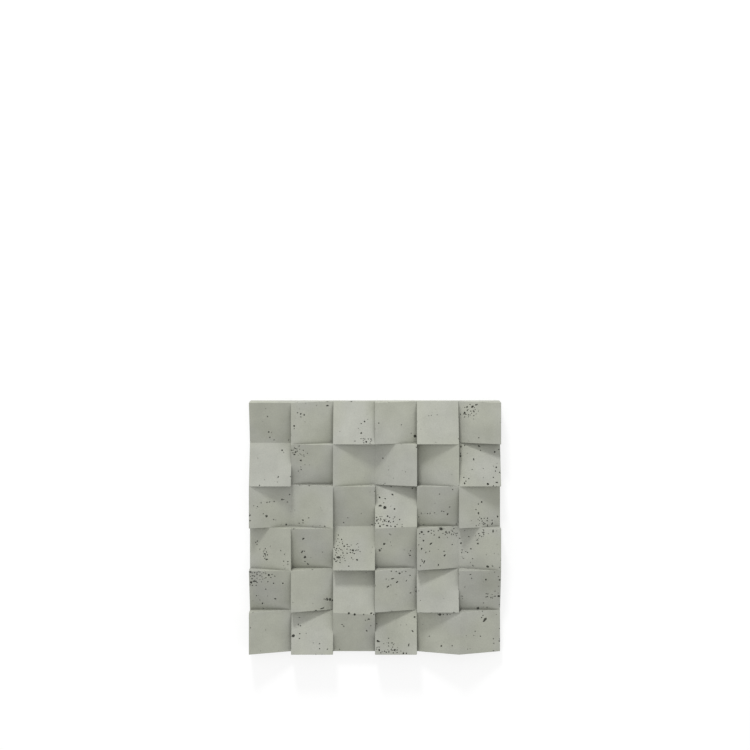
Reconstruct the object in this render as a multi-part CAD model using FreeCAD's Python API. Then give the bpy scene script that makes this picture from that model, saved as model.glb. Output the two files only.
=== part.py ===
"""Cast concrete relief wall tile: a thin slab whose face is a square grid of sloping blocks.

Units are millimetres. The tile lies on its back: the origin is the centre of the back face,
+Z points out of the relief face and +Y is the top edge as the tile hangs on a wall.
"""
import FreeCAD, Part
import os

Vector = FreeCAD.Vector

# Driving dimensions
block_width = 100.0      # side of one relief block, across the tile
block_height = 100.0     # side of one relief block, up the tile
slab_thickness = 16.0    # back face to the low edge of a block
block_rise = 30.0        # low edge to the high edge of a block
arris_setback = 1.2      # width that an eased edge takes from each of its two faces
arris_wall_share = 0.5   # an eased edge takes at most this share of the step below it
cutter_overhang = 0.5    # how far an edge cutter stands off the faces, as a share of the setback

# Which edge of each block is its high one: N top, S bottom, W left, E right, as the tile hangs.
# The first line is the top row, read from the left.
high_edges = (
    "NWSWSE",
    "SNWEES",
    "WENSNW",
    "ENSNWE",
    "NWSWSN",
    "WSNSEW",
)
row_count = len(high_edges)
column_count = len(high_edges[0])

# Corners of a unit block in counter-clockwise order seen from the front, and what lies along
# each of its edges: the two corners, and the step to the neighbour across it
corner_steps = {"SW": (0, 0), "SE": (1, 0), "NE": (1, 1), "NW": (0, 1)}
edge_corners = {"S": ("SW", "SE"), "E": ("SE", "NE"), "N": ("NE", "NW"), "W": ("NW", "SW")}
neighbour_steps = {"S": (0, -1), "E": (1, 0), "N": (0, 1), "W": (-1, 0)}
fewest_corners = 3       # of a flat face


def rise_share(letter, across, up):
    """How far up its slope a block is, at a place given as shares of its side."""
    return {"N": up, "S": 1 - up, "E": across, "W": 1 - across}[letter]


def surface_height(column, row, grid_x, grid_y):
    """Height of one block's face over a grid place. Off the tile it is that of the back."""
    if not (0 <= column < column_count and 0 <= row < row_count):
        return 0.0
    letter = high_edges[row_count - 1 - row][column]
    return slab_thickness + block_rise * rise_share(letter, grid_x - column, grid_y - row)


def grid_point(grid_x, grid_y, height):
    """A point over a grid place, with the tile centred on the origin."""
    x = (grid_x - column_count / 2) * block_width
    y = (grid_y - row_count / 2) * block_height
    return Vector(x, y, height)


def solid_between(lower, upper):
    """A solid with flat sides between two outlines that have the same number of corners."""
    outlines = [lower, upper]
    for here in range(len(lower)):
        there = (here + 1) % len(lower)
        outlines.append([lower[here], lower[there], upper[there], upper[here]])
    faces = []
    for outline in outlines:
        corners = [point for index, point in enumerate(outline) if point != outline[index - 1]]
        if len(corners) >= fewest_corners:
            faces.append(Part.Face(Part.makePolygon(corners + corners[:1])))
    solid = Part.makeSolid(Part.makeShell(faces))
    if solid.Volume < 0:
        solid.reverse()
    return solid


def block_solid(column, row):
    """One block with its share of the slab: a square prism cut off by the sloping face."""
    places = [(column + x, row + y) for x, y in corner_steps.values()]
    back = [grid_point(x, y, 0.0) for x, y in places]
    face = [grid_point(x, y, surface_height(column, row, x, y)) for x, y in places]
    return solid_between(back, face)


def face_normal(column, row):
    """Unit normal of a block's sloping face, pointing out of the tile."""
    south_west, south_east, _, north_west = [
        grid_point(column + x, row + y, surface_height(column, row, column + x, row + y))
        for x, y in corner_steps.values()
    ]
    return (south_east - south_west).cross(north_west - south_west).normalize()


def chamfer_section(point, inward, down, setback):
    """Corners of the waste triangle across an edge, standing off both faces that it trims."""
    clear = cutter_overhang
    return [
        point + (inward * (1 + clear) - down * clear) * setback,
        point - (inward + down) * (clear * setback),
        point + (down * (1 + clear) - inward * clear) * setback,
    ]


def fading_stations(step_start, step_end):
    """Places along an edge, as shares of it, between which its setback changes evenly."""
    full_step = arris_setback / arris_wall_share
    stations = {0.0, 1.0}
    for level in (0.0, full_step):
        if (step_start - level) * (step_end - level) < 0:
            stations.add((step_start - level) / (step_start - step_end))
    return sorted(stations)


def top_edge_cutters(column, row, edge):
    """Waste along one top edge of a block, where the block stands above its neighbour.

    The chamfer fades out where the step below it does, so that it never nicks the neighbour.
    """
    across, up = neighbour_steps[edge]
    places = [(column + x, row + y) for x, y in (corner_steps[name] for name in edge_corners[edge])]
    heights = [surface_height(column, row, x, y) for x, y in places]
    steps = [
        height - surface_height(column + across, row + up, x, y)
        for height, (x, y) in zip(heights, places)
    ]
    start, end = [grid_point(x, y, height) for (x, y), height in zip(places, heights)]
    along = (end - start).normalize()
    inward = face_normal(column, row).cross(along)
    down = along.cross(Vector(across, up, 0))
    cutters = []
    stations = fading_stations(*steps)
    for near, far in zip(stations, stations[1:]):
        sections = []
        for share in (near, far):
            step = steps[0] + (steps[1] - steps[0]) * share
            setback = min(arris_setback, step * arris_wall_share)
            sections.append((start + (end - start) * share, setback))
        if max(setback for _, setback in sections) > 0 and min(setback for _, setback in sections) >= 0:
            cutters.append(
                solid_between(*[chamfer_section(point, inward, down, size) for point, size in sections])
            )
    return cutters


def corner_cutter(column, row, corner):
    """Waste down one upright corner of a block, or None unless both neighbours lie lower there."""
    step_x, step_y = corner_steps[corner]
    outward_x = 1 if step_x else -1
    outward_y = 1 if step_y else -1
    grid_x = column + step_x
    grid_y = row + step_y
    top = surface_height(column, row, grid_x, grid_y)
    foot = max(
        surface_height(column + outward_x, row, grid_x, grid_y),
        surface_height(column, row + outward_y, grid_x, grid_y),
    )
    if top <= foot:
        return None
    low = grid_point(grid_x, grid_y, foot)
    triangle = [
        low,
        low - Vector(outward_x * arris_setback, 0, 0),
        low - Vector(0, outward_y * arris_setback, 0),
    ]
    rise = Vector(0, 0, top - foot + arris_setback)
    return solid_between(triangle, [point + rise for point in triangle])


def build_tile():
    """The slab and its blocks as one casting, with every exposed edge eased."""
    blocks = [(column, row) for column in range(column_count) for row in range(row_count)]
    solids = [block_solid(column, row) for column, row in blocks]
    tile = solids[0].fuse(solids[1:]).removeSplitter()
    cutters = []
    for column, row in blocks:
        for edge in edge_corners:
            cutters += top_edge_cutters(column, row, edge)
        for corner in corner_steps:
            waste = corner_cutter(column, row, corner)
            if waste:
                cutters.append(waste)
    return tile.cut(cutters).removeSplitter()


os.makedirs("parts", exist_ok=True)
tile = build_tile()
tile.exportStep("parts/wall_tile.step")
print("wall_tile: solids", len(tile.Solids), "faces", len(tile.Faces), "volume", round(tile.Volume))
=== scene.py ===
"""Looks of the cast concrete relief tile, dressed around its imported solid.

Units are metres. The tile lies on its back at the origin, with its relief face up along +Z and
its top edge towards +Y. The camera looks straight down on it.
"""
import bpy
import bmesh
import math
import random
from typing import NamedTuple
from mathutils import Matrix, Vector


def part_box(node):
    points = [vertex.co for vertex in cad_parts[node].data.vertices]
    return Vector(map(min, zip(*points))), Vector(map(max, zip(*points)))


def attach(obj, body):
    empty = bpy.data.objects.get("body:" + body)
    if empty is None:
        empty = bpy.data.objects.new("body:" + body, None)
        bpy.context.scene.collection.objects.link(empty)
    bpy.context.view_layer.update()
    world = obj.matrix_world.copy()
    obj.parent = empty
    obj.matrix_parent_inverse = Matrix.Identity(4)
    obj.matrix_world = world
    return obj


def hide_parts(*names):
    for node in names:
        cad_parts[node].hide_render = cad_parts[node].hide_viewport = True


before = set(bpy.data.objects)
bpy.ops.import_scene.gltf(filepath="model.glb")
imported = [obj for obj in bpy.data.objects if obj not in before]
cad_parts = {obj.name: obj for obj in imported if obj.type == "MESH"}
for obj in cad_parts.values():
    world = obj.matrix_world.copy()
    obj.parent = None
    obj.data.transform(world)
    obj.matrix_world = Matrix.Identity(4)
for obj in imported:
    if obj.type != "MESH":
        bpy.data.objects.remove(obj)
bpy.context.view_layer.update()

# Which edge of each block is its high one: N top, S bottom, W left, E right. The first line is
# the top row, read from the left.
HIGH_EDGES = (
    "NWSWSE",
    "SNWEES",
    "WENSNW",
    "ENSNWE",
    "NWSWSN",
    "WSNSEW",
)
ROWS = len(HIGH_EDGES)
COLUMNS = len(HIGH_EDGES[0])

# Corners of a block, counter-clockwise, the neighbour across the edge that starts at each, and
# the corners that lie high for each letter
CORNERS = ((0, 0), (1, 0), (1, 1), (0, 1))
NEIGHBOURS = ((0, -1), (1, 0), (0, 1), (-1, 0))
HIGH_CORNERS = {"S": (0, 1), "E": (1, 2), "N": (2, 3), "W": (3, 0)}

# Sizes of the casting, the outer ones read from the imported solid
tile_low, tile_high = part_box("wall_tile")
BLOCK_WIDTH = (tile_high.x - tile_low.x) / COLUMNS
BLOCK_HEIGHT = (tile_high.y - tile_low.y) / ROWS
TOP_LEVEL = tile_high.z
SLAB_THICKNESS = 0.016

# Arrises, the exposed edges: the widest rounding, the shares of it that they take by chance, the
# share along the back, and the angle from which an edge is one
ARRIS_WIDTH = 0.0014
ARRIS_SEGMENTS = 3
ARRIS_SHARES = (0.6, 1.0)
BACK_ARRIS_SHARE = 0.5
SHARP_ANGLE = math.radians(40)

# Cells along a block's side, into which the flat faces are cut before the pores are, and how
# close to a vertex a cut may come
CELLS_A_BLOCK = 8
CUT_TOLERANCE = 1e-6

# A normal that points up or down by more than this share is the relief's or the back's, and
# any other is a wall's
LEVEL_SHARE = 0.5

# Camera: it stands off the low level of the face, above a point beyond the tile's top edge, and
# its picture is shifted down. Lens and sensor are in millimetres, and the shift in pixels.
LENS = 67.3
SENSOR_WIDTH = 36.0
CAMERA_HEIGHT = 3.363
CAMERA_PAST_CENTRE = 0.663
PICTURE_WIDTH = 750
AXIS_ABOVE_PICTURE_CENTRE = 125.25
SIGHT_LIMIT = 100.0
EYE = (0, CAMERA_PAST_CENTRE, SLAB_THICKNESS + CAMERA_HEIGHT)

# Light, as a direction and levels that render a colour about as it is written
KEY_FROM = (-0.130, 0.907, 0.401)
KEY_DISTANCE = 5.0
KEY_STRENGTH = 1.63
KEY_SPREAD = math.radians(10)
SKY_STRENGTH = 0.81
WHITE = (1, 1, 1, 1)

# Floor: its size, the colour that it throws back as soft light, and the colour and glow seen
FLOOR_SIZE = 30.0
FLOOR_BOUNCE = (0.8, 0.8, 0.8, 1)
FLOOR_SEEN = (0.36, 0.36, 0.36, 1)
FLOOR_GLOW = 0.67

# Colours of the cement, olive where it is denser and neutral where it is drier
OLIVE_CEMENT = (0.376, 0.385, 0.325, 1)
GREY_CEMENT = (0.378, 0.385, 0.343, 1)

# Noise in the cement: features a metre, and where they differ detail, roughness and distortion
PATCH_NOISE = (7.0, 2.0, 0.5, 0.4)
CLOUD_NOISE = (24.0, 3.0)
SAND_NOISE = (420.0, 3.0, 0.7)
GRIT_NOISE = (900.0, 4.0, 0.65)
SWELL_NOISE = (130.0,)
POLISH_NOISE = (60.0,)
DRAG_NOISE = (60.0, 7.0)

# The part of a noise that is used, and the shades or the roughness that it is drawn out to
PATCH_RANGE = (0.38, 0.62)
SHADE_RANGE = (0.25, 0.75)
CLOUD_SHADES = (0.95, 1.05)
SAND_SHADES = (0.93, 1.07)
POLISH_RANGE = (0.3, 0.7)
ROUGHNESSES = (0.82, 0.93)

# Pin-holes: cells a metre, the share of them that holds one, where its rim starts and ends in a
# cell, how much painted shade darkens its colour, and how deep it is
PIN_HOLE_CELLS = 260.0
PIN_HOLE_SHARE = 0.14
PIN_HOLE_RIM = (0.06, 0.14)
PIN_HOLE_PAINTED_SHADE = 0.55
PIN_HOLE_DEPTH = 1.5

# Fine relief of the skin: its height, and the shares of grit and of a gentle swell in it
SKIN_RELIEF = 0.00030
GRIT_SHARE = 0.35
SWELL_SHARE = 0.65

# Painted shade along inner corners, where the colour darkens as an ambient occlusion node finds a
# place closed in: how far it looks, the painted shade at the corner, how open a place is where it
# starts and ends, and how many rays tell that
CORNER_REACH = 0.010
CORNER_PAINTED_SHADE = 0.70
CORNER_OPENNESS = (0.4, 0.95)
CORNER_RAYS = 8

# Painted shade in the pores' hollows, the painted corner shade in them, and the back's own tone
HOLLOW_PAINTED_SHADE = 0.62
HOLLOW_CORNER_PAINTED_SHADE = 0.9
BACK_SHADE = 0.97

# The levelled back: how its texture is drawn out along the board's way, and how strongly it shows
SCREED_STRETCH = (0.22, 1.0, 1.0)
SCREED_DRAG = 4.0

# Patches where the cement is a little darker or paler: block row and column, percent across and
# down of the middle, reach, and shade at the middle
TONE_PATCHES = (
    (6, 4, 30, 55, 0.075, 0.84),
    (4, 1, 60, 25, 0.090, 0.92),
    (5, 1, 20, 45, 0.070, 0.91),
    (4, 3, 25, 75, 0.045, 0.90),
    (4, 3, 65, 55, 0.050, 0.92),
    (4, 5, 25, 60, 0.070, 0.93),
    (5, 4, 20, 30, 0.070, 0.94),
    (5, 5, 45, 60, 0.060, 0.95),
    (5, 6, 70, 20, 0.080, 0.87),
    (3, 2, 50, 35, 0.050, 0.92),
    (1, 6, 70, 85, 0.060, 0.93),
    (3, 6, 95, 20, 0.080, 0.92),
    (6, 6, 10, 65, 0.055, 0.93),
    (1, 4, 60, 60, 0.080, 1.09),
    (1, 3, 60, 60, 0.060, 1.05),
    (2, 2, 70, 50, 0.050, 1.06),
    (5, 2, 60, 10, 0.060, 1.05),
    (6, 2, 30, 10, 0.060, 1.04),
    (6, 2, 35, 80, 0.050, 1.06),
    (5, 3, 55, 45, 0.050, 1.06),
    (4, 4, 50, 60, 0.060, 1.07),
)

# Patches where the cement is drier than chance has it, and greyer, or denser and olive where the
# number is negative: the same, with the dryness that the middle gains
DRYNESS_PATCHES = (
    (1, 1, 35, 40, 0.060, -0.6),
    (1, 3, 50, 50, 0.070, 0.8),
    (1, 5, 50, 60, 0.065, 0.8),
    (1, 6, 65, 65, 0.065, -0.9),
    (2, 2, 70, 25, 0.050, -0.6),
    (2, 3, 45, 65, 0.065, -0.8),
    (2, 6, 55, 55, 0.065, 0.9),
    (3, 1, 45, 60, 0.070, -1.0),
    (3, 2, 55, 50, 0.070, -1.0),
    (3, 3, 60, 30, 0.055, -0.9),
    (3, 4, 60, 60, 0.060, 0.8),
    (3, 5, 50, 50, 0.060, 0.8),
    (3, 6, 40, 60, 0.060, -1.0),
    (4, 1, 65, 50, 0.060, -0.5),
    (4, 2, 60, 50, 0.065, 0.7),
    (4, 4, 25, 55, 0.060, -0.9),
    (4, 5, 45, 50, 0.070, -1.0),
    (4, 6, 65, 50, 0.070, -1.0),
    (5, 1, 50, 60, 0.065, 0.9),
    (5, 3, 50, 75, 0.055, 0.7),
    (5, 4, 35, 55, 0.065, -1.0),
    (5, 6, 75, 30, 0.050, -0.7),
    (6, 1, 50, 55, 0.065, -0.6),
    (6, 2, 60, 60, 0.065, 0.9),
    (6, 4, 40, 60, 0.060, -0.8),
    (6, 5, 70, 70, 0.055, -0.6),
    (6, 6, 50, 55, 0.070, -1.0),
)

# Air pores on the face as they are seen from the camera: for each block, by row and column from
# the top left, the place of each in percent across and down, and the letter of its width
PORE_WIDTHS = {"f": 0.0020, "s": 0.0030, "m": 0.0043, "l": 0.0058, "h": 0.0078}
AIR_PORES = {
    (1, 1): "38 18 f, 42 37 s, 45 74 m, 52 75 f, 48 87 s, 58 93 s, 93 93 s",
    (1, 2): "34 5 f, 60 10 f, 14 28 s, 22 31 m, 30 33 m, 22 38 s, 32 50 f, 6 60 m, 6 66 s",
    (1, 3): "82 44 f, 75 49 m, 67 54 s, 60 66 f, 67 77 m, 52 96 s, 66 90 f, 76 91 s, 84 91 s,"
            "90 91 s, 79 98 m, 73 100 s, 88 101 s",
    (1, 4): "9 53 s, 63 57 s, 87 77 f, 96 84 h",
    (1, 5): "35 34 f, 29 35 f, 49 33 f, 46 99 f",
    (1, 6): "34 13 l, 28 8 s, 45 8 s, 21 23 s, 30 24 s, 37 25 s, 15 28 m, 48 24 f, 5 32 s, 13 31 s,"
            "18 32 s, 24 32 s, 15 38 s, 37 35 s, 24 38 f, 37 43 f, 49 88 s, 25 96 f",
    (2, 1): "77 18 m, 81 23 f, 19 37 f, 66 94 f, 23 102 s",
    (2, 2): "18 8 s, 0 18 s, 10 14 s, 10 22 m, 14 20 s, 6 28 m, 28 18 s, 3 24 s, 20 26 f, 25 30 f,"
            "38 25 s, 16 30 f, 29 29 f, 22 42 m, 32 52 f, 43 53 f, 23 64 s, 16 68 s, 22 58 f",
    (2, 4): "19 37 s, 33 65 f, 73 70 f, 65 67 f, 44 85 f, 24 97 s, 20 100 f, 100 11 s",
    (2, 6): "6 9 m, 15 6 s, 5 25 s, 50 8 m, 53 18 s, 87 22 m, 97 16 s, 22 25 f, 60 62 f, 91 59 m,"
            "89 68 s, 99 71 s, 84 56 f, 93 50 f, 13 83 s, 18 92 s, 25 86 s, 15 97 m, 60 83 f,"
            "84 83 s, 71 99 l, 84 103 s",
    (3, 1): "95 24 s, 77 36 m, 81 36 s, 90 42 s, 41 43 s, 47 42 s, 58 41 s, 27 44 s, 18 53 s,"
            "9 51 f, 32 70 s, 40 76 l, 0 74 m, 57 84 s, 0 87 s, 62 85 f, 87 96 l",
    (3, 2): "41 80 s, 27 86 m, 18 93 s, 27 92 s, 51 100 f, 80 101 s, 68 98 f",
    (3, 3): "88 18 f, 67 70 f, 35 80 s, 25 91 s, 69 2 f, 78 2 f",
    (3, 4): "39 5 s, 42 24 m, 11 31 m, 25 34 s, 7 25 f, 21 44 s, 24 55 h, 38 52 f, 47 59 m, 30 76 m,"
            "35 79 s, 47 78 s, 4 79 s, 59 84 s, 4 87 m, 14 83 s, 23 87 m, 33 89 m, 44 89 s, 8 93 s,"
            "12 100 m, 21 96 s, 29 99 m, 38 100 s, 48 101 m, 53 96 s, 65 101 s, 65 96 f, 12 77 s",
    (3, 5): "86 12 s, 55 23 s, 44 45 f, 79 54 s, 11 69 s, 20 69 f, 26 70 s, 32 69 s, 43 68 s,"
            "60 64 s, 65 65 s, 74 71 m, 5 78 s, 17 96 s, 95 95 s",
    (3, 6): "56 42 m, 48 47 s, 42 60 s, 48 69 m, 94 77 m, 55 82 s, 62 81 s, 70 81 s, 57 88 s,"
            "61 92 s, 69 87 s, 64 94 s, 60 96 s, 81 86 s, 31 87 f, 43 99 s, 70 100 s",
    (4, 1): "18 36 s, 14 39 s, 17 44 s, 24 55 s, 37 54 s, 49 48 f, 33 64 f, 36 67 m, 42 69 s,"
            "33 72 s, 38 72 s, 36 77 s, 74 59 s, 83 67 s, 81 84 s, 91 85 s, 91 91 s, 84 101 f,"
            "81 95 f",
    (4, 2): "5 7 s, 28 30 m, 31 60 s, 32 74 l, 46 75 f, 32 85 s",
    (4, 3): "12 21 s, 11 30 s, 20 32 s, 22 42 s, 8 36 f, 26 48 m, 33 44 s, 35 49 s, 2 51 s, 8 54 s,"
            "6 58 s, 18 56 s, 12 59 f, 7 63 s, 9 66 f, 33 55 s, 41 57 s, 47 58 l, 54 58 s, 61 50 f,"
            "60 57 s, 64 61 s, 51 66 s, 42 63 f, 23 63 s, 33 65 s, 27 77 f, 44 76 s, 57 81 m,"
            "6 85 s, 16 87 s, 4 80 s, 9 83 s, 37 96 s",
    (4, 4): "38 21 f, 22 43 l, 37 38 f, 39 47 f, 15 54 s, 70 57 f, 85 59 s, 84 70 m, 81 66 f",
    (4, 5): "12 14 l, 28 13 m, 35 10 s, 41 12 s, 35 17 s, 58 7 h, 52 11 s, 70 14 m, 73 17 s,"
            "86 12 s, 88 20 s, 94 18 s, 97 17 s, 89 6 s, 95 23 s, 7 18 s, 8 27 f, 17 20 s, 42 21 s,"
            "54 27 m, 16 35 m, 5 45 s, 12 54 m, 85 44 s, 31 60 s, 22 63 s, 52 56 f, 67 70 m,"
            "12 81 s, 14 84 s, 9 95 s",
    (4, 6): "15 11 f, 25 25 s, 6 41 m, 3 29 s, 30 54 m, 9 57 s, 18 61 s, 22 63 s, 8 63 s, 9 74 f,"
            "34 78 s, 29 87 f, 35 95 s, 70 97 l, 82 96 s, 99 99 s, 60 9 s, 59 15 s, 61 20 s,"
            "49 18 s, 51 23 s, 56 25 s, 48 29 f, 46 33 s, 47 42 m, 60 24 f, 72 18 f, 86 65 f",
    (5, 1): "1 10 m, 5 12 s, 11 11 s, 17 16 s, 24 10 s, 33 12 s, 6 19 s, 11 20 s, 24 19 s, 29 22 f,"
            "38 14 s, 45 17 l, 53 16 s, 60 20 s, 39 23 f, 50 23 s, 3 35 l, 5 26 s, 24 28 f, 17 35 s,"
            "43 33 s, 57 37 s, 79 37 m, 6 42 s, 15 42 s, 38 51 s, 16 67 s, 61 74 m, 24 77 f,"
            "30 85 m, 7 79 f, 33 98 s",
    (5, 2): "47 1 s, 50 3 s, 3 83 f, 51 85 f, 78 75 s, 85 74 m, 86 77 m, 92 76 l, 82 76 s, 98 78 m,"
            "70 98 s",
    (5, 3): "79 12 f, 99 22 f",
    (5, 4): "39 8 s, 51 9 s, 59 13 m, 65 10 s, 74 9 s, 84 18 s, 27 27 s, 33 29 f, 53 34 m, 75 31 s,"
            "38 41 s, 98 46 s, 99 56 m",
    (5, 5): "9 78 f, 65 74 f, 5 55 f",
    (5, 6): "32 25 s, 66 28 m, 15 46 s, 87 10 s, 96 21 s, 99 29 m, 97 44 s, 88 56 s, 67 62 s,"
            "66 70 s, 70 69 s, 78 71 s, 82 70 f, 88 68 s, 97 68 l, 9 68 s, 10 74 f, 60 84 s,"
            "69 95 s, 60 94 f, 47 97 l, 99 88 s, 4 102 m",
    (6, 1): "7 7 f, 21 4 f, 1 44 s, 38 49 f",
    (6, 2): "16 36 s, 21 39 s, 4 63 h, 19 58 s, 19 69 s, 35 57 f, 52 80 f, 67 82 s, 67 94 s, 86 95 s",
    (6, 3): "51 12 l, 73 12 s, 91 9 m, 97 12 s, 77 26 s, 25 40 s, 90 39 s, 15 95 s",
    (6, 4): "95 18 m, 4 34 s, 62 37 f, 33 69 s, 7 76 l, 11 77 s, 32 80 s, 41 80 s, 42 90 s, 10 97 m,"
            "23 100 s, 27 102 s, 33 102 s, 39 97 s, 47 97 m, 53 97 s, 14 104 s, 44 104 s, 68 105 m,"
            "53 103 s, 62 100 f, 75 105 s, 54 91 f",
    (6, 5): "51 11 s, 64 12 s, 73 12 s, 80 12 f, 30 64 s, 15 36 f, 59 87 m, 65 78 f, 85 87 s",
    (6, 6): "58 4 s, 59 14 s, 56 19 s, 66 22 m, 40 52 s, 37 62 f, 19 63 f, 53 64 s, 84 70 s, 99 75 m,"
            "85 81 s, 28 94 f, 22 95 f, 91 12 f",
}

# Long pores: block row and column, percent across and down, width, how many times longer than
# wide, and its turn in degrees
LONG_PORES = (
    (1, 2, 86, 11, 0.0034, 2.2, 0),
    (1, 6, 21, 14, 0.0036, 1.8, 40),
    (1, 6, 42, 9, 0.0034, 1.8, 20),
    (2, 1, 68, 82, 0.0030, 1.9, 70),
    (2, 6, 5, 31, 0.0042, 1.7, 90),
    (2, 6, 37, 40, 0.0035, 2.1, 100),
    (2, 6, 33, 64, 0.0018, 2.4, 15),
    (2, 6, 92, 95, 0.0034, 2.0, 0),
    (3, 2, 79, 100, 0.0024, 1.9, 90),
    (3, 3, 93, 96, 0.0026, 2.0, 0),
    (3, 4, 90, 9, 0.0028, 2.0, 0),
    (3, 4, 13, 51, 0.0048, 1.9, 5),
    (3, 6, 81, 94, 0.0040, 1.9, 55),
    (4, 1, 40, 80, 0.0040, 1.7, 5),
    (4, 2, 25, 61, 0.0040, 2.2, 60),
    (4, 2, 74, 62, 0.0017, 2.4, 90),
    (4, 2, 39, 91, 0.0037, 1.8, 150),
    (4, 3, 12, 75, 0.0056, 1.9, 0),
    (4, 3, 2, 78, 0.0034, 1.8, 90),
    (4, 4, 35, 19, 0.0024, 2.0, 0),
    (4, 4, 11, 58, 0.0046, 1.6, 110),
    (4, 5, 78, 15, 0.0030, 2.6, 90),
    (4, 5, 74, 27, 0.0017, 2.4, 90),
    (4, 5, 34, 42, 0.0041, 2.1, 40),
    (4, 5, 66, 60, 0.0028, 2.0, 0),
    (4, 5, 18, 86, 0.0036, 2.4, 70),
    (4, 5, 52, 93, 0.0033, 2.0, 90),
    (4, 6, 83, 12, 0.0038, 2.3, 80),
    (4, 6, 12, 77, 0.0020, 2.4, 0),
    (5, 1, 11, 32, 0.0047, 2.4, 0),
    (5, 2, 74, 97, 0.0037, 2.5, 20),
    (5, 2, 58, 102, 0.0030, 2.0, 0),
    (5, 4, 42, 26, 0.0033, 3.0, 10),
    (5, 4, 31, 45, 0.0038, 2.2, 35),
    (5, 4, 85, 60, 0.0030, 1.9, 0),
    (5, 6, 29, 16, 0.0024, 2.2, 0),
    (6, 2, 19, 19, 0.0018, 2.4, 0),
    (6, 3, 37, 10, 0.0052, 1.4, 100),
    (6, 3, 85, 23, 0.0036, 1.9, 15),
    (6, 3, 21, 36, 0.0028, 2.0, 150),
    (6, 3, 80, 51, 0.0034, 1.7, 120),
    (6, 4, 90, 52, 0.0034, 1.8, 130),
    (6, 4, 81, 85, 0.0032, 2.8, 80),
    (6, 5, 56, 12, 0.0054, 1.5, 20),
    (6, 6, 63, 25, 0.0064, 2.0, 45),
    (6, 6, 84, 99, 0.0024, 2.0, 0),
)

# Swarms of fine pores around some of these: block row and column, percent across and down of the
# middle, spread across and down in percent, and their number
PORE_SWARMS = (
    (1, 3, 80, 94, 14, 6, 6),
    (1, 6, 28, 25, 16, 16, 12),
    (2, 2, 18, 22, 18, 12, 10),
    (3, 4, 25, 88, 25, 12, 18),
    (3, 6, 60, 88, 16, 10, 10),
    (4, 1, 37, 68, 8, 12, 6),
    (4, 3, 30, 60, 30, 25, 24),
    (4, 5, 80, 13, 18, 9, 8),
    (4, 6, 53, 22, 12, 14, 8),
    (5, 1, 20, 22, 20, 14, 18),
    (5, 6, 82, 68, 16, 9, 8),
    (6, 4, 30, 92, 28, 14, 14),
)
SWARM_PORE_WIDTH = 0.0023

# The ball that hollows out a pore, in widths of the pore: how deep it reaches from end to end, how
# far its middle is sunk, and how far and how finely its wall is pushed about
PORE_DEPTH = 1.5
PORE_SINK = 0.28
PORE_UNEVENNESS = 0.7
PORE_UNEVEN_SCALE = 0.9
UNIT_BALL_RADIUS = 0.5

# The value about which noise wavers
MIDDLE_OF_NOISE = (0.5, 0.5, 0.5)

# Balls up to the first width have the fewest facets, and those wider than the second the most
FEW_FACETS_TO = 0.0013
MANY_FACETS_FROM = 0.0033
FACET_STEPS = (1, 2, 3)

# Stray pores, which chance strews over the whole casting: their widths, how rare the wide ones
# are, and how many a square metre there are on the walls, the arrises, the face and the back
STRAY_WIDTHS = (0.0009, 0.0036)
WIDEST_ON_FACE = 0.0018
STRAY_RARITY = 3.0
WALL_PORES = 1500
ARRIS_PORES = 5500
FACE_PORES = 250
BACK_PORES = 500

# How many times longer than wide a pore is by chance, and the seeds of all that chance decides
SEEN_STRETCHES = (1.0, 1.5)
STRAY_STRETCHES = (1.0, 1.8)
ARRIS_SEED = 11
SWARM_SEED = 3
STRAY_SEED = 4
SEEN_STRETCH_SEED = 5
SEEN_TURN_SEED = 6
STRAY_WIDTH_SEED = 7
STRAY_STRETCH_SEED = 8
STRAY_TURN_SEED = 9

# Inputs that every tree of pores has for their hollows
HOLLOW_SOCKETS = (
    ("Depth", "Float"),
    ("Sink", "Float"),
    ("Unevenness", "Float"),
    ("Material", "Material"),
)

# Which sockets of a mix node are its two colours, and which the mixed one
FIRST_COLOUR = 6
SECOND_COLOUR = 7
MIXED_COLOUR = 2


def add_node(tree, kind, inputs=None, **settings):
    """A new node. An input given as a socket is linked to it, and any other is set to the value."""
    node = tree.nodes.new(kind)
    for name, value in settings.items():
        setattr(node, name, value)
    for key, value in (inputs or {}).items():
        if isinstance(value, bpy.types.NodeSocket):
            tree.links.new(value, node.inputs[key])
        else:
            node.inputs[key].default_value = value
    return node


def add_math(tree, operation, first, second, clamp=False):
    """The result of one sum on two numbers or sockets."""
    node = add_node(tree, "ShaderNodeMath", {0: first, 1: second}, operation=operation)
    node.use_clamp = clamp
    return node.outputs[0]


def product(tree, *factors):
    result = factors[0]
    for factor in factors[1:]:
        result = add_math(tree, "MULTIPLY", result, factor)
    return result


def total(tree, *terms):
    result = terms[0]
    for term in terms[1:]:
        result = add_math(tree, "ADD", result, term)
    return result


def rest_of_one(tree, share):
    return add_math(tree, "SUBTRACT", 1.0, share)


def vector_math(tree, operation, first, second):
    """The result of one sum on two vectors: a number for a distance, and else a vector."""
    node = add_node(tree, "ShaderNodeVectorMath", {0: first, 1: second}, operation=operation)
    return node.outputs["Value" if operation == "DISTANCE" else "Vector"]


def scaled_vector(tree, vector, factor):
    node = add_node(tree, "ShaderNodeVectorMath", {0: vector, "Scale": factor}, operation="SCALE")
    return node.outputs["Vector"]


def noise(tree, place, scale, detail=2.0, roughness=0.5, distortion=0.0, output="Fac"):
    node = add_node(tree, "ShaderNodeTexNoise", {
        "Vector": place,
        "Scale": scale,
        "Detail": detail,
        "Roughness": roughness,
        "Distortion": distortion,
    })
    return node.outputs[output]


def ranged(tree, value, used, drawn_to):
    """A value that moves softly from one end of a range to the other as it crosses another."""
    node = add_node(tree, "ShaderNodeMapRange", {
        "Value": value,
        "From Min": used[0],
        "From Max": used[1],
        "To Min": drawn_to[0],
        "To Max": drawn_to[1],
    }, interpolation_type="SMOOTHSTEP")
    return node.outputs["Result"]


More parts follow.
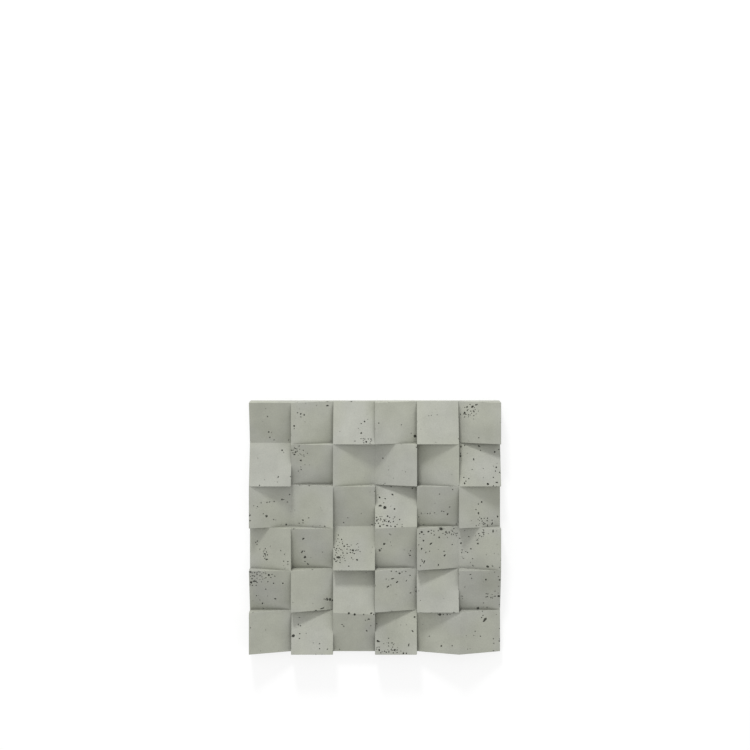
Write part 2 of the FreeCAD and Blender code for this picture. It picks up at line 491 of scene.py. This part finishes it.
def read_attribute(tree, name, data_type="FLOAT"):
    node = add_node(tree, "GeometryNodeInputNamedAttribute", {"Name": name}, data_type=data_type)
    return node.outputs["Attribute"]


def store_attribute(tree, geometry, name, value, data_type="FLOAT", domain="POINT"):
    """The geometry with one more named attribute."""
    node = add_node(
        tree, "GeometryNodeStoreNamedAttribute",
        {"Geometry": geometry, "Name": name, "Value": value}, data_type=data_type, domain=domain,
    )
    return node.outputs["Geometry"]


def random_number(tree, limits, seed):
    node = add_node(
        tree, "FunctionNodeRandomValue", {"Min": limits[0], "Max": limits[1], "Seed": seed},
        data_type="FLOAT",
    )
    return node.outputs["Value"]


def position(tree):
    return add_node(tree, "GeometryNodeInputPosition").outputs["Position"]


def moved(tree, geometry, offset):
    node = add_node(tree, "GeometryNodeSetPosition", {"Geometry": geometry, "Offset": offset})
    return node.outputs["Geometry"]


def realized(tree, geometry):
    node = add_node(tree, "GeometryNodeRealizeInstances", {"Geometry": geometry})
    return node.outputs["Geometry"]


def new_tree(name, sockets):
    """An empty geometry tree with the named inputs, and its two end nodes."""
    tree = bpy.data.node_groups.new(name, "GeometryNodeTree")
    tree.interface.new_socket("Geometry", in_out="INPUT", socket_type="NodeSocketGeometry")
    for label, kind in sockets:
        tree.interface.new_socket(label, in_out="INPUT", socket_type="NodeSocket" + kind)
    tree.interface.new_socket("Geometry", in_out="OUTPUT", socket_type="NodeSocketGeometry")
    start = add_node(tree, "NodeGroupInput")
    end = add_node(tree, "NodeGroupOutput")
    return tree, start.outputs, end


def new_piece(name, mesh):
    piece = bpy.data.objects.new(name, mesh)
    bpy.context.collection.objects.link(piece)
    return piece


def plain_mesh(piece):
    """The piece's mesh as its modifiers leave it. They are then removed."""
    evaluated = piece.evaluated_get(bpy.context.evaluated_depsgraph_get())
    mesh = bpy.data.meshes.new_from_object(evaluated)
    piece.modifiers.clear()
    return mesh


def grow(piece, tree, values):
    """What a geometry tree makes of a piece, as a plain mesh."""
    modifier = piece.modifiers.new(tree.name, "NODES")
    modifier.node_group = tree
    for socket in tree.interface.items_tree:
        if socket.in_out == "INPUT" and socket.name in values:
            modifier[socket.identifier] = values[socket.name]
    return plain_mesh(piece)


def on_tile(row, column, across, down):
    """The place with percent across and down a block, as x and y on the tile."""
    x = (column - 1 + across / 100 - COLUMNS / 2) * BLOCK_WIDTH
    y = (ROWS / 2 - (row - 1) - down / 100) * BLOCK_HEIGHT
    return x, y


def inside(block):
    column, row = block
    return 0 <= column < COLUMNS and 0 <= row < ROWS


def is_high(block, place):
    """Whether a block's corner at this grid place is on its high edge."""
    column, row = block
    corner = CORNERS.index((place[0] - column, place[1] - row))
    return corner in HIGH_CORNERS[HIGH_EDGES[ROWS - 1 - row][column]]


def blocks_around(place):
    x, y = place
    return [(column, row) for column in (x - 1, x) for row in (y - 1, y) if inside((column, row))]


def only_diagonal(place):
    """Whether just two blocks are high at a grid place, and they touch only there."""
    high = [block for block in blocks_around(place) if is_high(block, place)]
    around = len(blocks_around(place))
    return around == len(CORNERS) and len(high) == 2 and all(a != b for a, b in zip(*high))


def sharp_casting():
    """The slab and its blocks as one closed mesh with sharp edges, and no vertex twice."""
    mesh = bmesh.new()
    made = {}

    def vertex(level, x, y, height, owner=None):
        key = (level, x, y, owner)
        if key not in made:
            place = ((x - COLUMNS / 2) * BLOCK_WIDTH, (y - ROWS / 2) * BLOCK_HEIGHT, height)
            made[key] = mesh.verts.new(place)
        return made[key]

    def back(place):
        return vertex("back", *place, 0.0)

    def low(place):
        return vertex("low", *place, SLAB_THICKNESS)

    def own(block, place):
        """A block's own corner. Blocks that are high on one diagonal only don't share theirs."""
        if not is_high(block, place):
            return low(place)
        return vertex("high", *place, TOP_LEVEL, block if only_diagonal(place) else None)

    def crossing(start, end):
        """Where two blocks that slope opposite ways meet, half way along their common edge."""
        middle = [(a + b) / 2 for a, b in zip(start, end)]
        return vertex("crossing", *middle, (SLAB_THICKNESS + TOP_LEVEL) / 2)

    def above_neighbour_corner(block, place):
        """The low vertex part way up an outer wall, where a lower block meets this one."""
        lower = [other for other in blocks_around(place) if not is_high(other, place)]
        return [low(place)] if is_high(block, place) and lower else []

    for column in range(COLUMNS):
        for row in range(ROWS):
            block = (column, row)
            outline = []
            for side, (step_x, step_y) in enumerate(NEIGHBOURS):
                start_x, start_y = CORNERS[side]
                end_x, end_y = CORNERS[(side + 1) % len(CORNERS)]
                start = (column + start_x, row + start_y)
                end = (column + end_x, row + end_y)
                neighbour = (column + step_x, row + step_y)
                outline.append(own(block, start))
                if not inside(neighbour):
                    wall = [back(start), back(end)] + above_neighbour_corner(block, end)
                    wall += [own(block, end), own(block, start)]
                    mesh.faces.new(wall + above_neighbour_corner(block, start))
                    continue
                step_start = is_high(block, start) - is_high(neighbour, start)
                step_end = is_high(block, end) - is_high(neighbour, end)
                if step_start * step_end < 0:
                    middle = crossing(start, end)
                    outline.append(middle)
                    if step_start > 0:
                        mesh.faces.new([own(neighbour, start), middle, own(block, start)])
                    else:
                        mesh.faces.new([middle, own(neighbour, end), own(block, end)])
                elif step_start + step_end > 0:
                    ring = [own(neighbour, start), own(neighbour, end)]
                    ring += [own(block, end), own(block, start)]
                    step = [here for index, here in enumerate(ring) if here != ring[index - 1]]
                    mesh.faces.new(step)
            mesh.faces.new(outline)
    rim = [(x, 0) for x in range(COLUMNS)] + [(COLUMNS, y) for y in range(ROWS)]
    rim += [(x, ROWS) for x in range(COLUMNS, 0, -1)] + [(0, y) for y in range(ROWS, 0, -1)]
    mesh.faces.new([back(place) for place in reversed(rim)])
    mesh.normal_update()
    return mesh


def cut_into_cells(mesh):
    """Divides the large flat faces, so that each later takes the mouths of a few pores only."""
    for axis, side, count in ((0, BLOCK_WIDTH, COLUMNS), (1, BLOCK_HEIGHT, ROWS)):
        for line in range(CELLS_A_BLOCK * count):
            place = Vector((0, 0, 0))
            place[axis] = ((line + 0.5) / CELLS_A_BLOCK - count / 2) * side
            across = Vector((0, 0, 0))
            across[axis] = 1
            bmesh.ops.bisect_plane(
                mesh, geom=mesh.verts[:] + mesh.edges[:] + mesh.faces[:], plane_co=place,
                plane_no=across, dist=CUT_TOLERANCE,
            )


def eased_casting(face_material, arris_material):
    """The casting with every exposed edge rounded, each by its own amount."""
    chance = random.Random(ARRIS_SEED)
    mesh = sharp_casting()
    weights = mesh.edges.layers.float.new("bevel_weight_edge")
    for edge in mesh.edges:
        if edge.calc_face_angle_signed() > SHARP_ANGLE:
            at_back = max(vertex.co.z for vertex in edge.verts) < SLAB_THICKNESS / 2
            edge[weights] = BACK_ARRIS_SHARE if at_back else chance.uniform(*ARRIS_SHARES)
    data = bpy.data.meshes.new("casting")
    mesh.to_mesh(data)
    mesh.free()
    data.materials.append(face_material)
    data.materials.append(arris_material)
    piece = new_piece("casting", data)
    bevel = piece.modifiers.new("arrises", "BEVEL")
    bevel.limit_method = "WEIGHT"
    bevel.width = ARRIS_WIDTH
    bevel.segments = ARRIS_SEGMENTS
    bevel.use_clamp_overlap = False
    bevel.material = len(data.materials) - 1
    piece.data = plain_mesh(piece)
    mesh = bmesh.new()
    mesh.from_mesh(piece.data)
    cut_into_cells(mesh)
    mesh.to_mesh(piece.data)
    mesh.free()
    return piece


class PoreMark(NamedTuple):
    """A pore, or a swarm of them, as the camera sees it on one block.

    Its place and the spread of a swarm are in percent of the block.
    """
    row: int
    column: int
    across: float
    down: float
    width: float
    stretch: float = 0.0
    turn: float = 0.0
    spread_across: float = 0.0
    spread_down: float = 0.0
    count: int = 1


def listed_marks():
    marks = []
    for (row, column), places in AIR_PORES.items():
        for place in places.split(","):
            across, down, letter = place.split()
            marks.append(PoreMark(row, column, float(across), float(down), PORE_WIDTHS[letter]))
    for *place, width, stretch, turn in LONG_PORES:
        marks.append(PoreMark(*place, width, stretch, math.radians(turn)))
    for *place, spread_across, spread_down, count in PORE_SWARMS:
        spread = {"spread_across": spread_across, "spread_down": spread_down}
        marks.append(PoreMark(*place, SWARM_PORE_WIDTH, count=count, **spread))
    return marks


def pore_marks():
    """One point for each pore and swarm that the camera sees, in the plane of the low level."""
    marks = listed_marks()
    places = [on_tile(mark.row, mark.column, mark.across, mark.down) for mark in marks]
    data = bpy.data.meshes.new("pore_marks")
    data.from_pydata([(x, y, SLAB_THICKNESS) for x, y in places], [], [])
    for name, kind in (
        ("width", "FLOAT"),
        ("stretch", "FLOAT"),
        ("turn", "FLOAT"),
        ("count", "INT"),
    ):
        values = [getattr(mark, name) for mark in marks]
        data.attributes.new(name, kind, "POINT").data.foreach_set("value", values)
    spreads = []
    for mark in marks:
        spreads.append(mark.spread_across / 100 * BLOCK_WIDTH)
        spreads.append(mark.spread_down / 100 * BLOCK_HEIGHT)
        spreads.append(0.0)
    data.attributes.new("spread", "FLOAT_VECTOR", "POINT").data.foreach_set("vector", spreads)
    return new_piece("pore_marks", data)


def pore_hollows_tree():
    """Points that carry width, stretch, turn and facing become uneven, slightly undercut hollows.

    Those that overlap are united, because the cut needs a waste that nowhere runs into itself.
    """
    tree, given, end = new_tree("pore hollows", HOLLOW_SOCKETS)
    width = read_attribute(tree, "width")
    facing = read_attribute(tree, "facing", "FLOAT_VECTOR")
    sunk = product(tree, width, given["Sink"], -1.0)
    points = moved(tree, given["Geometry"], scaled_vector(tree, facing, sunk))
    upright = add_node(tree, "FunctionNodeAlignRotationToVector", {"Vector": facing}, axis="Z")
    about = add_node(tree, "FunctionNodeAxisAngleToRotation", {
        "Axis": (0, 0, 1),
        "Angle": read_attribute(tree, "turn"),
    })
    turned = add_node(tree, "FunctionNodeRotateRotation", {
        "Rotation": upright.outputs["Rotation"],
        "Rotate By": about.outputs["Rotation"],
    }, rotation_space="LOCAL")
    size = add_node(tree, "ShaderNodeCombineXYZ", {
        "X": product(tree, width, read_attribute(tree, "stretch")),
        "Y": width,
        "Z": product(tree, width, given["Depth"]),
    })
    narrow = add_math(tree, "LESS_THAN", width, FEW_FACETS_TO)
    wide = add_math(tree, "GREATER_THAN", width, MANY_FACETS_FROM)
    middling = add_math(tree, "SUBTRACT", rest_of_one(tree, narrow), wide)
    balls = add_node(tree, "GeometryNodeJoinGeometry")
    for selection, subdivisions in zip((narrow, middling, wide), FACET_STEPS):
        ball = add_node(tree, "GeometryNodeMeshIcoSphere", {
            "Radius": UNIT_BALL_RADIUS,
            "Subdivisions": subdivisions,
        })
        placed = add_node(tree, "GeometryNodeInstanceOnPoints", {
            "Points": points,
            "Selection": selection,
            "Instance": ball.outputs["Mesh"],
            "Rotation": turned.outputs["Rotation"],
            "Scale": size.outputs["Vector"],
        })
        tree.links.new(placed.outputs["Instances"], balls.inputs["Geometry"])
    features = scaled_vector(
        tree, position(tree), add_math(tree, "DIVIDE", PORE_UNEVEN_SCALE, width)
    )
    lean = vector_math(
        tree, "SUBTRACT", noise(tree, features, 1.0, output="Color"), MIDDLE_OF_NOISE
    )
    push = scaled_vector(tree, lean, product(tree, width, given["Unevenness"]))
    uneven = moved(tree, realized(tree, balls.outputs["Geometry"]), push)
    island = add_node(tree, "GeometryNodeInputMeshIsland").outputs["Island Index"]
    apart = add_node(
        tree, "GeometryNodeSplitToInstances", {"Geometry": uneven, "Group ID": island},
        domain="FACE",
    )
    united = add_node(
        tree, "GeometryNodeMeshBoolean", {1: apart.outputs["Instances"]}, operation="UNION",
        solver="MANIFOLD",
    )
    coated = add_node(tree, "GeometryNodeSetMaterial", {
        "Geometry": realized(tree, united.outputs["Mesh"]),
        "Material": given["Material"],
    })
    tree.links.new(coated.outputs["Geometry"], end.inputs["Geometry"])
    return tree


def finish_with_hollows(tree, hollows, points, given, end):
    """Ends a tree in the pore hollows group, fed with these points and the tree's own settings."""
    inputs = {"Geometry": points}
    for label, _ in HOLLOW_SOCKETS:
        inputs[label] = given[label]
    group = add_node(tree, "GeometryNodeGroup", inputs, node_tree=hollows)
    tree.links.new(group.outputs["Geometry"], end.inputs["Geometry"])


def seen_pores_tree(hollows):
    """Each mark is cast onto the tile along the camera's line of sight, a swarm's many times."""
    tree, given, end = new_tree(
        "seen pores", (("Casting", "Object"), ("Eye", "Vector"), ("Seed", "Int")) + HOLLOW_SOCKETS
    )
    copies = add_node(tree, "GeometryNodeDuplicateElements", {
        "Geometry": given["Geometry"],
        "Amount": read_attribute(tree, "count", "INT"),
    }, domain="POINT")
    aside = add_node(tree, "FunctionNodeRandomValue", {
        0: (-1, -1, 0),
        1: (1, 1, 0),
        "Seed": given["Seed"],
    }, data_type="FLOAT_VECTOR")
    spread = vector_math(
        tree, "MULTIPLY", aside.outputs["Value"], read_attribute(tree, "spread", "FLOAT_VECTOR")
    )
    strewn = moved(tree, copies.outputs["Geometry"], spread)
    casting = add_node(tree, "GeometryNodeObjectInfo", {"Object": given["Casting"]})
    ray = add_node(tree, "GeometryNodeRaycast", {
        "Target Geometry": casting.outputs["Geometry"],
        "Source Position": given["Eye"],
        "Ray Direction": vector_math(tree, "SUBTRACT", position(tree), given["Eye"]),
    })
    points = store_attribute(tree, strewn, "facing", ray.outputs["Hit Normal"], "FLOAT_VECTOR")
    points = store_attribute(tree, points, "hit", ray.outputs["Is Hit"])
    landed = add_node(
        tree, "GeometryNodeSetPosition", {"Geometry": points, "Position": ray.outputs["Hit Position"]}
    )
    on_casting = add_node(tree, "GeometryNodeDeleteGeometry", {
        "Geometry": landed.outputs["Geometry"],
        "Selection": rest_of_one(tree, read_attribute(tree, "hit")),
    }, domain="POINT")
    stretch = read_attribute(tree, "stretch")
    unset = add_math(tree, "LESS_THAN", stretch, SEEN_STRETCHES[0])
    chance_stretch = product(tree, unset, random_number(tree, SEEN_STRETCHES, SEEN_STRETCH_SEED))
    points = store_attribute(
        tree, on_casting.outputs["Geometry"], "stretch",
        add_math(tree, "MAXIMUM", chance_stretch, stretch),
    )
    round_mouth = add_math(tree, "LESS_THAN", stretch, SEEN_STRETCHES[1])
    chance_turn = product(tree, round_mouth, random_number(tree, (0.0, math.pi), SEEN_TURN_SEED))
    points = store_attribute(
        tree, points, "turn", total(tree, chance_turn, read_attribute(tree, "turn"))
    )
    finish_with_hollows(tree, hollows, points, given, end)
    return tree


def stray_pores_tree(hollows):
    """Pores strewn over the walls, arrises, face and back, each with its own density."""
    tree, given, end = new_tree(
        "stray pores",
        (
            ("Walls", "Float"), ("Arrises", "Float"), ("Face", "Float"), ("Back", "Float"),
            ("Narrowest", "Float"), ("Widest", "Float"), ("Widest on face", "Float"),
            ("Seed", "Int"),
        ) + HOLLOW_SOCKETS,
    )
    normal = add_node(tree, "GeometryNodeInputNormal").outputs["Normal"]
    casting = store_attribute(tree, given["Geometry"], "lie", normal, "FLOAT_VECTOR", "FACE")
    lie = add_node(
        tree, "ShaderNodeSeparateXYZ", {"Vector": read_attribute(tree, "lie", "FLOAT_VECTOR")}
    ).outputs["Z"]
    index = add_node(tree, "GeometryNodeInputMaterialIndex").outputs["Material Index"]
    arris = add_math(tree, "GREATER_THAN", index, 0)
    flat = rest_of_one(tree, arris)
    upward = add_math(tree, "GREATER_THAN", lie, LEVEL_SHARE)
    downward = add_math(tree, "LESS_THAN", lie, -LEVEL_SHARE)
    upright = rest_of_one(tree, total(tree, upward, downward))
    of_flats = total(
        tree,
        product(tree, upright, given["Walls"]),
        product(tree, upward, given["Face"]),
        product(tree, downward, given["Back"]),
    )
    open_arris = add_math(tree, "SUBTRACT", arris, downward, clamp=True)
    density = total(
        tree, product(tree, flat, of_flats), product(tree, open_arris, given["Arrises"])
    )
    casting = store_attribute(tree, casting, "density", density, domain="FACE")
    on_face = product(tree, upward, flat)
    casting = store_attribute(tree, casting, "on_face", on_face, domain="FACE")
    strewn = add_node(tree, "GeometryNodeDistributePointsOnFaces", {
        "Mesh": casting,
        "Density": read_attribute(tree, "density"),
        "Seed": given["Seed"],
    })
    less_on_face = product(
        tree, read_attribute(tree, "on_face"),
        add_math(tree, "SUBTRACT", given["Widest on face"], given["Widest"]),
    )
    widest = total(tree, given["Widest"], less_on_face)
    rare = add_math(
        tree, "POWER", random_number(tree, (0.0, 1.0), STRAY_WIDTH_SEED), STRAY_RARITY
    )
    more_width = product(tree, rare, add_math(tree, "SUBTRACT", widest, given["Narrowest"]))
    points = store_attribute(
        tree, strewn.outputs["Points"], "facing", strewn.outputs["Normal"], "FLOAT_VECTOR"
    )
    for name, value in (
        ("width", total(tree, given["Narrowest"], more_width)),
        ("stretch", random_number(tree, STRAY_STRETCHES, STRAY_STRETCH_SEED)),
        ("turn", random_number(tree, (0.0, math.pi), STRAY_TURN_SEED)),
    ):
        points = store_attribute(tree, points, name, value)
    finish_with_hollows(tree, hollows, points, given, end)
    return tree


def drop_loose_shells(data):
    """Keeps only the largest of a mesh's separate shells: a pore under the skin leaves a bubble."""
    mesh = bmesh.new()
    mesh.from_mesh(data)
    waiting = set(mesh.verts)
    shells = []
    while waiting:
        shell = {waiting.pop()}
        edge_of_shell = list(shell)
        while edge_of_shell:
            vertex = edge_of_shell.pop()
            for edge in vertex.link_edges:
                other = edge.other_vert(vertex)
                if other in waiting:
                    waiting.remove(other)
                    shell.add(other)
                    edge_of_shell.append(other)
        shells.append(shell)
    shells.sort(key=len)
    loose = [vertex for shell in shells[:-1] for vertex in shell]
    bmesh.ops.delete(mesh, geom=loose, context="VERTS")
    mesh.to_mesh(data)
    mesh.free()


def finish_faces(data, back_material):
    """Smooths the arrises and hollows, leaves what is flat flat, and coats the back."""
    data.materials.append(back_material)
    for face in data.polygons:
        face.use_smooth = face.material_index > 0
        if face.material_index == 0 and face.normal.z < -LEVEL_SHARE:
            face.material_index = len(data.materials) - 1


def pin_holes(tree, place):
    """1 in a pin-hole and 0 beside it."""
    cells = add_node(tree, "ShaderNodeTexVoronoi", {
        "Vector": place,
        "Scale": PIN_HOLE_CELLS,
        "Randomness": 1.0,
    })
    chosen = add_math(tree, "GREATER_THAN", cells.outputs["Color"], 1 - PIN_HOLE_SHARE)
    near_middle = ranged(tree, cells.outputs["Distance"], PIN_HOLE_RIM, (1.0, 0.0))
    return product(tree, chosen, near_middle)


def fading(tree, place, row, column, across, down, reach, at_middle, outside):
    """A number that holds at the middle of a patch of the face and fades to the one outside it."""
    level_place = vector_math(tree, "MULTIPLY", place, (1, 1, 0))
    middle = (*on_tile(row, column, across, down), 0)
    away = vector_math(tree, "DISTANCE", level_place, middle)
    return ranged(tree, away, (0.0, reach), (at_middle, outside))


def concrete_colour(tree, place, hole, shade, corner_painted_shade, has_patches):
    """The cement's colour with its clouds, sand and patches, darkened by painted shade along inner
    corners and in pin-holes.
    """
    dryness = ranged(tree, noise(tree, place, *PATCH_NOISE), PATCH_RANGE, (0.0, 1.0))
    if has_patches:
        for patch in DRYNESS_PATCHES:
            dryness = total(tree, dryness, fading(tree, place, *patch, 0.0))
    cement = add_node(tree, "ShaderNodeMix", {
        "Factor": dryness,
        FIRST_COLOUR: OLIVE_CEMENT,
        SECOND_COLOUR: GREY_CEMENT,
    }, data_type="RGBA").outputs[MIXED_COLOUR]
    clouds = ranged(tree, noise(tree, place, *CLOUD_NOISE), SHADE_RANGE, CLOUD_SHADES)
    sand = ranged(tree, noise(tree, place, *SAND_NOISE), SHADE_RANGE, SAND_SHADES)
    openness = add_node(
        tree, "ShaderNodeAmbientOcclusion", {"Distance": CORNER_REACH}, samples=CORNER_RAYS,
        only_local=True,
    ).outputs["AO"]
    # Painted shade: the colour darkens towards inner corners, where the occlusion node finds them
    # closed in
    painted_corner_darkening = ranged(tree, openness, CORNER_OPENNESS, (corner_painted_shade, 1.0))
    tone = product(tree, clouds, sand, shade, painted_corner_darkening)
    if has_patches:
        for patch in TONE_PATCHES:
            tone = product(tree, tone, fading(tree, place, *patch, 1.0))
    # Painted shade: the colour darkens in each pin-hole
    pin_hole_painted_shade = rest_of_one(tree, product(tree, hole, PIN_HOLE_PAINTED_SHADE))
    return scaled_vector(tree, cement, product(tree, tone, pin_hole_painted_shade))


def concrete_relief(tree, place, hole, drag):
    """The normal of the skin, with its grit, swell and pin-holes, and what the board drew out."""
    relief = total(
        tree,
        product(tree, noise(tree, place, *GRIT_NOISE), GRIT_SHARE),
        product(tree, noise(tree, place, *SWELL_NOISE), SWELL_SHARE),
    )
    relief = add_math(tree, "SUBTRACT", relief, product(tree, hole, PIN_HOLE_DEPTH))
    if drag:
        drawn_out = vector_math(tree, "MULTIPLY", place, SCREED_STRETCH)
        relief = total(tree, relief, product(tree, noise(tree, drawn_out, *DRAG_NOISE), drag))
    bump = add_node(tree, "ShaderNodeBump", {
        "Strength": 1.0,
        "Distance": SKIN_RELIEF,
        "Height": relief,
    })
    return bump.outputs["Normal"]


# Shade scales the colour: for the back it is its own tone, and for the pores' hollows it is painted
# shade
def concrete_material(name, shade=1.0, corner_painted_shade=CORNER_PAINTED_SHADE, has_patches=True, drag=0.0):
    """Cast concrete: soft olive and grey patches, cloudy cement, fine sand, pin-holes darkened with
    painted shade, and painted shade that darkens the colour along inner corners.

    Drag is for the back. It was open in the mould and levelled with a board, so its relief is
    coarser and drawn out.
    """
    material = bpy.data.materials.new(name)
    material.use_nodes = True
    tree = material.node_tree
    shader = tree.nodes["Principled BSDF"]
    place = add_node(tree, "ShaderNodeTexCoord").outputs["Object"]
    hole = pin_holes(tree, place)
    for socket, value in (
        ("Base Color", concrete_colour(tree, place, hole, shade, corner_painted_shade, has_patches)),
        ("Roughness", ranged(tree, noise(tree, place, *POLISH_NOISE), POLISH_RANGE, ROUGHNESSES)),
        ("Normal", concrete_relief(tree, place, hole, drag)),
    ):
        tree.links.new(value, shader.inputs[socket])
    return material


def make_camera():
    camera = bpy.data.cameras.new("camera")
    camera.lens = LENS
    camera.sensor_width = SENSOR_WIDTH
    camera.shift_y = -AXIS_ABOVE_PICTURE_CENTRE / PICTURE_WIDTH
    camera.clip_end = SIGHT_LIMIT
    holder = new_piece("camera", camera)
    holder.location = EYE
    bpy.context.scene.camera = holder


def by_sight(tree, as_light, as_seen):
    """One shader for soft light, and another for what the camera, a mirror or glass shows."""
    path = add_node(tree, "ShaderNodeLightPath").outputs
    sharp = add_math(tree, "MAXIMUM", path["Is Glossy Ray"], path["Is Transmission Ray"])
    both = add_node(tree, "ShaderNodeMixShader", {
        "Fac": add_math(tree, "MAXIMUM", path["Is Camera Ray"], sharp),
        1: as_light.outputs[0],
        2: as_seen.outputs[0],
    })
    return both.outputs[0]


def make_floor():
    """A pale floor that looks white to the camera and keeps the tile's shadow."""
    bpy.ops.mesh.primitive_plane_add(size=FLOOR_SIZE)
    floor = bpy.context.object
    floor.name = "floor"
    material = bpy.data.materials.new("pale floor")
    material.use_nodes = True
    tree = material.node_tree
    tree.nodes.clear()
    bounce = add_node(tree, "ShaderNodeBsdfDiffuse", {"Color": FLOOR_BOUNCE})
    shaded = add_node(tree, "ShaderNodeBsdfDiffuse", {"Color": FLOOR_SEEN})
    glow = add_node(tree, "ShaderNodeEmission", {"Color": WHITE, "Strength": FLOOR_GLOW})
    seen = add_node(tree, "ShaderNodeAddShader", {0: shaded.outputs[0], 1: glow.outputs[0]})
    add_node(tree, "ShaderNodeOutputMaterial", {"Surface": by_sight(tree, bounce, seen)})
    floor.data.materials.append(material)


def make_light():
    """A soft key lamp from beyond the top edge, and an even sky that looks white."""
    key = bpy.data.lights.new("key", "AREA")
    key.shape = "DISK"
    key.size = 2 * KEY_DISTANCE * math.tan(KEY_SPREAD / 2)
    key.energy = KEY_STRENGTH * math.pi * KEY_DISTANCE ** 2
    holder = new_piece("key", key)
    holder.visible_camera = False
    holder.location = Vector(KEY_FROM) * KEY_DISTANCE
    holder.rotation_mode = "QUATERNION"
    holder.rotation_quaternion = Vector(KEY_FROM).to_track_quat("Z", "Y")
    world = bpy.data.worlds.new("studio")
    bpy.context.scene.world = world
    world.use_nodes = True
    tree = world.node_tree
    tree.nodes.clear()
    sky = add_node(tree, "ShaderNodeBackground", {"Color": WHITE, "Strength": SKY_STRENGTH})
    white = add_node(tree, "ShaderNodeBackground", {"Color": WHITE, "Strength": 1.0})
    add_node(tree, "ShaderNodeOutputWorld", {"Surface": by_sight(tree, sky, white)})


bpy.context.scene.view_settings.view_transform = "Standard"
make_camera()
make_light()
make_floor()

cast_concrete = concrete_material("cast concrete")
eased_concrete = concrete_material("eased concrete")
# The pores' hollows take a darker colour: painted shade standing in for the shade inside them
hollow_concrete_painted_shade = concrete_material("pore hollows", HOLLOW_PAINTED_SHADE, HOLLOW_CORNER_PAINTED_SHADE)
back_concrete = concrete_material(
    "screeded concrete", BACK_SHADE, has_patches=False, drag=SCREED_DRAG
)

casting = eased_casting(cast_concrete, eased_concrete)
marks = pore_marks()
hollows = pore_hollows_tree()
hollow_values = {
    "Depth": PORE_DEPTH,
    "Sink": PORE_SINK,
    "Unevenness": PORE_UNEVENNESS,
    "Material": hollow_concrete_painted_shade,
}
seen = new_piece("seen_pores", grow(marks, seen_pores_tree(hollows), {
    "Casting": casting,
    "Eye": EYE,
    "Seed": SWARM_SEED,
    **hollow_values,
}))
stray = new_piece("stray_pores", grow(casting, stray_pores_tree(hollows), {
    "Walls": WALL_PORES,
    "Arrises": ARRIS_PORES,
    "Face": FACE_PORES,
    "Back": BACK_PORES,
    "Narrowest": STRAY_WIDTHS[0],
    "Widest": STRAY_WIDTHS[1],
    "Widest on face": WIDEST_ON_FACE,
    "Seed": STRAY_SEED,
    **hollow_values,
}))
for waste in (seen, stray):
    cut = casting.modifiers.new("cut " + waste.name, "BOOLEAN")
    cut.operation = "DIFFERENCE"
    cut.solver = "MANIFOLD"
    cut.material_mode = "TRANSFER"
    cut.object = waste
tile = new_piece("wall_tile_dressed", plain_mesh(casting))
drop_loose_shells(tile.data)
finish_faces(tile.data, back_concrete)
for spent in (casting, marks, seen, stray):
    bpy.data.objects.remove(spent)
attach(tile, "root")
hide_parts("wall_tile")
